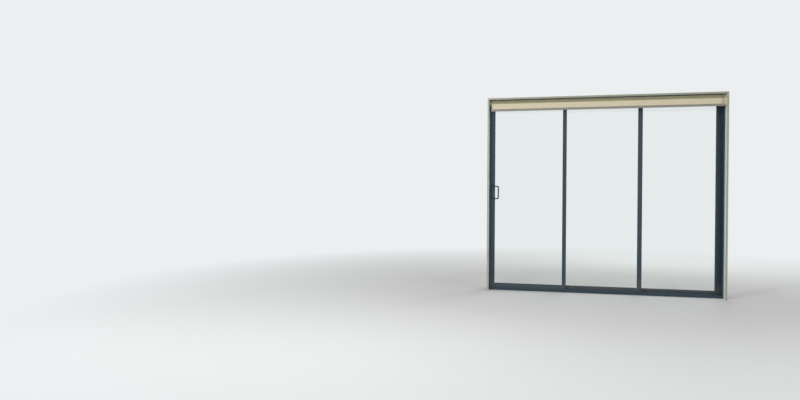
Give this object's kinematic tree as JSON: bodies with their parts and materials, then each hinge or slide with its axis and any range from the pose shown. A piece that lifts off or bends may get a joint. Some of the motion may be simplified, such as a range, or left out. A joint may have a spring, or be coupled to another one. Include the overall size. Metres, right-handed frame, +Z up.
{
  "type": "three-panel sliding glass door set with its lining and a roller blind",
  "caption": "Stacking sliding glass door in a charcoal aluminium frame: one fixed and two sliding panels, painted timber lining and a rolled-up roller blind at the head.",
  "frame": {"origin": "centre of the sill's underside", "axes": "+X to the right as seen from the room, +Y out through the door to the weather side, +Z up"},
  "size_m": [2.75, 0.238, 2.39],
  "materials": {
    "frame_coat": "satin powder coat, charcoal",
    "painted_lining": "semi-gloss white paint on timber boards",
    "glass": "clear laminated glass",
    "glazing_rubber": "black extruded rubber",
    "nylon": "moulded nylon",
    "blind_fabric": "cream woven blind fabric",
    "hem_bar": "satin stone-coloured paint",
    "blind_fittings": "satin cream paint",
    "handle_coat": "satin powder coat, charcoal",
    "lock_steel": "satin stainless steel",
    "mill_aluminium": "mill finish aluminium"
  },
  "bodies": {
    "frame": {"frame_head": "frame_coat", "frame_sill": "frame_coat", "jamb_left": "frame_coat", "jamb_right": "frame_coat", "lining_left": "painted_lining", "lining_right": "painted_lining", "lining_head": "painted_lining", "lock_keeper": "lock_steel", "fixed_stile_left": "frame_coat", "fixed_stile_right": "frame_coat", "fixed_rail_top": "frame_coat", "fixed_rail_bottom": "frame_coat", "fixed_glass": "glass", "fixed_gasket": "glazing_rubber", "fixed_packers": "nylon", "blind_brackets": "blind_fittings", "blind_drive_head": "blind_fittings", "blind_idler": "blind_fittings", "blind_tube": "mill_aluminium", "blind_fabric": "blind_fabric", "blind_hem_bar": "hem_bar"},
    "middle_panel": {"middle_stile_left": "frame_coat", "middle_stile_right": "frame_coat", "middle_rail_top": "frame_coat", "middle_rail_bottom": "frame_coat", "middle_glass": "glass", "middle_gasket": "glazing_rubber", "middle_wheels": "nylon", "middle_carriages": "lock_steel", "middle_guides": "nylon"},
    "leading_panel": {"leading_stile_lock": "frame_coat", "leading_stile_right": "frame_coat", "leading_rail_top": "frame_coat", "leading_rail_bottom": "frame_coat", "leading_glass": "glass", "leading_gasket": "glazing_rubber", "leading_wheels": "nylon", "leading_carriages": "lock_steel", "leading_guides": "nylon", "handle_inside": "handle_coat", "handle_outside": "handle_coat", "lock_case": "lock_steel", "lock_hook": "lock_steel", "lock_snib": "handle_coat", "lock_cylinder": "handle_coat"}
  },
  "joints": [
    {"name": "middle_slide", "type": "slide", "parent": "frame", "child": "middle_panel", "axis": [1, 0, 0], "range_m": [0, 0.863]},
    {"name": "leading_slide", "type": "slide", "parent": "middle_panel", "child": "leading_panel", "axis": [1, 0, 0], "range_m": [0, 0.817]}
  ]
}
